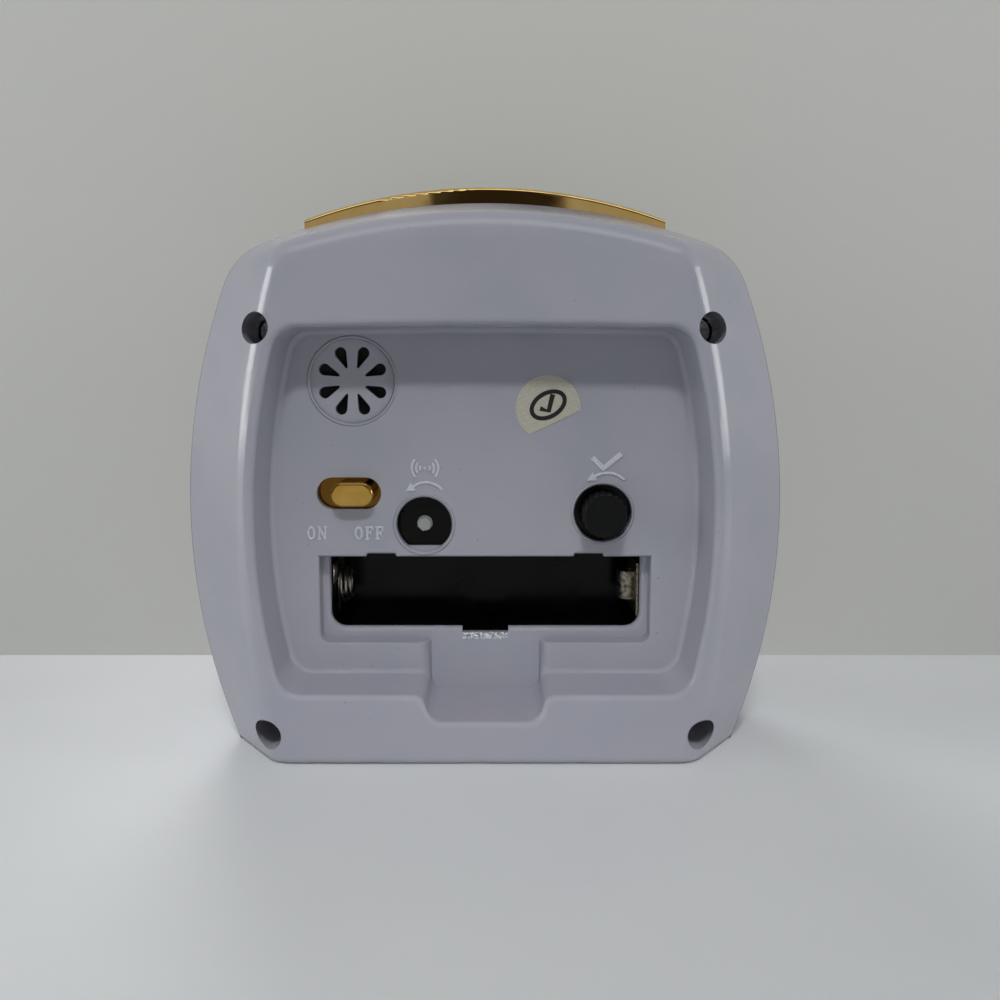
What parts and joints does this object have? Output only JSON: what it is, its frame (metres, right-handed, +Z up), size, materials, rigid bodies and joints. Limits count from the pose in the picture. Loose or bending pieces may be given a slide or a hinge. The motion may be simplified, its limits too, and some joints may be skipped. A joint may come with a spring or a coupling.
{
  "type": "quartz alarm clock",
  "caption": "Desk alarm clock with arched case, gold snooze key, recessed back, setting stems, alarm switch and open battery bay.",
  "frame": {"origin": "under the middle of the case, on the surface it stands on", "axes": "+Z up; the dial faces -Y and the recessed back faces +Y; X runs across the width"},
  "size_m": [0.1188, 0.048, 0.1117],
  "materials": {
    "lilac_abs": "moulded gloss ABS, lilac white",
    "gold_plate": "vacuum-plated gold on ABS",
    "clear_lens": "clear polished lens",
    "dial_card": "printed dial card",
    "black_plastic": "black moulded plastic",
    "setting_stem": "light grey nylon",
    "white_acetal": "white acetal",
    "nickel_strip": "nickel-plated spring strip",
    "steel": "zinc-plated steel",
    "silicon_steel": "stamped silicon steel",
    "copper_winding": "enamelled copper winding",
    "board_laminate": "green board laminate",
    "chip_resin": "black potting resin",
    "crystal_can": "drawn metal can",
    "turned_brass": "turned brass",
    "ferrite": "sintered ferrite",
    "cone_paper": "pressed speaker cone",
    "label_paper": "off-white paper label",
    "dark_hand": "black lacquered hand",
    "gold_hand": "gold lacquered hand",
    "red_hand": "red lacquered hand"
  },
  "bodies": {
    "case": {"front_case": "lilac_abs", "rear_case": "lilac_abs", "bezel_ring": "gold_plate", "lens": "clear_lens", "dial": "dial_card", "case_screws": "steel", "battery_tray": "black_plastic", "positive_contact": "nickel_strip", "negative_contact": "nickel_strip", "movement_tray": "black_plastic", "middle_plate": "white_acetal", "movement_cover": "black_plastic", "movement_screws": "steel", "dial_nut": "turned_brass", "stator": "silicon_steel", "coil": "copper_winding", "circuit_board": "board_laminate", "quartz_crystal": "crystal_can", "circuit_chip": "chip_resin", "slide_switch_body": "black_plastic", "sound_board": "board_laminate", "sound_chip": "chip_resin", "speaker_basket": "black_plastic", "speaker_magnet": "ferrite", "speaker_cone": "cone_paper", "inspection_sticker": "label_paper", "snooze_switch": "black_plastic", "key_spring_left": "steel", "key_spring_right": "steel"},
    "key": {"snooze_key": "gold_plate"},
    "slider": {"switch_slider": "gold_plate"},
    "time_setter": {"time_set_knob": "black_plastic", "time_set_stem": "setting_stem"},
    "minute_gear": {"minute_wheel": "white_acetal"},
    "minute_shaft": {"cannon_pinion": "white_acetal", "minute_hand": "dark_hand"},
    "hour_shaft": {"hour_wheel": "white_acetal", "hour_hand": "dark_hand"},
    "alarm_shaft": {"alarm_wheel": "white_acetal", "alarm_hand": "gold_hand"},
    "alarm_setter": {"alarm_set_stem": "setting_stem"},
    "second_shaft": {"second_wheel": "white_acetal", "second_hand": "red_hand"},
    "third_gear": {"third_wheel": "white_acetal"},
    "centre_gear": {"centre_wheel": "white_acetal"},
    "fifth_gear": {"fifth_wheel": "white_acetal"},
    "rotor": {"rotor_pinion": "white_acetal", "rotor_magnet": "ferrite"}
  },
  "joints": [
    {"name": "key_press", "type": "slide", "parent": "case", "child": "key", "axis": [0, 0, -1], "range_m": [0, 0.0016], "stiffness_N_per_m": 600, "springref_m": -0.0015, "deforming": ["key_spring_left", "key_spring_right"]},
    {"name": "switch_slide", "type": "slide", "parent": "case", "child": "slider", "axis": [1, 0, 0], "range_m": [-0.00115, 0.00295]},
    {"name": "time_set_turn", "type": "hinge", "parent": "case", "child": "time_setter", "pos_m": [-0.0233, 0, 0.0475], "axis": [0, 1, 0], "continuous": true},
    {"name": "minute_gear_turn", "type": "hinge", "parent": "case", "child": "minute_gear", "pos_m": [-0.0128, 0, 0.05721], "axis": [0, 1, 0], "continuous": true},
    {"name": "minute_turn", "type": "hinge", "parent": "case", "child": "minute_shaft", "pos_m": [0, 0, 0.054], "axis": [0, 1, 0], "continuous": true},
    {"name": "hour_turn", "type": "hinge", "parent": "case", "child": "hour_shaft", "pos_m": [0, 0, 0.054], "axis": [0, 1, 0], "continuous": true},
    {"name": "alarm_turn", "type": "hinge", "parent": "case", "child": "alarm_shaft", "pos_m": [0, 0, 0.054], "axis": [0, 1, 0], "continuous": true},
    {"name": "alarm_set_turn", "type": "hinge", "parent": "case", "child": "alarm_setter", "pos_m": [0.012, 0, 0.0452], "axis": [0, 1, 0], "continuous": true},
    {"name": "second_turn", "type": "hinge", "parent": "case", "child": "second_shaft", "pos_m": [0, 0, 0.054], "axis": [0, 1, 0], "continuous": true},
    {"name": "third_turn", "type": "hinge", "parent": "case", "child": "third_gear", "pos_m": [0.00334, 0, 0.06427], "axis": [0, 1, 0], "continuous": true},
    {"name": "centre_turn", "type": "hinge", "parent": "case", "child": "centre_gear", "pos_m": [0, 0, 0.054], "axis": [0, 1, 0], "continuous": true},
    {"name": "fifth_turn", "type": "hinge", "parent": "case", "child": "fifth_gear", "pos_m": [-0.00915, 0, 0.05928], "axis": [0, 1, 0], "continuous": true},
    {"name": "rotor_turn", "type": "hinge", "parent": "case", "child": "rotor", "pos_m": [-0.01269, 0, 0.06596], "axis": [0, 1, 0], "continuous": true}
  ],
  "couplings": [
    {"joint": "minute_gear_turn", "follows": "time_set_turn", "ratio": -0.44444},
    {"joint": "minute_turn", "follows": "time_set_turn", "ratio": 1.3333},
    {"joint": "hour_turn", "follows": "time_set_turn", "ratio": 0.11111},
    {"joint": "alarm_set_turn", "follows": "alarm_turn", "ratio": -4},
    {"joint": "third_turn", "follows": "second_turn", "ratio": -0.13333},
    {"joint": "centre_turn", "follows": "second_turn", "ratio": 0.016667},
    {"joint": "fifth_turn", "follows": "second_turn", "ratio": -5},
    {"joint": "rotor_turn", "follows": "second_turn", "ratio": 30}
  ]
}
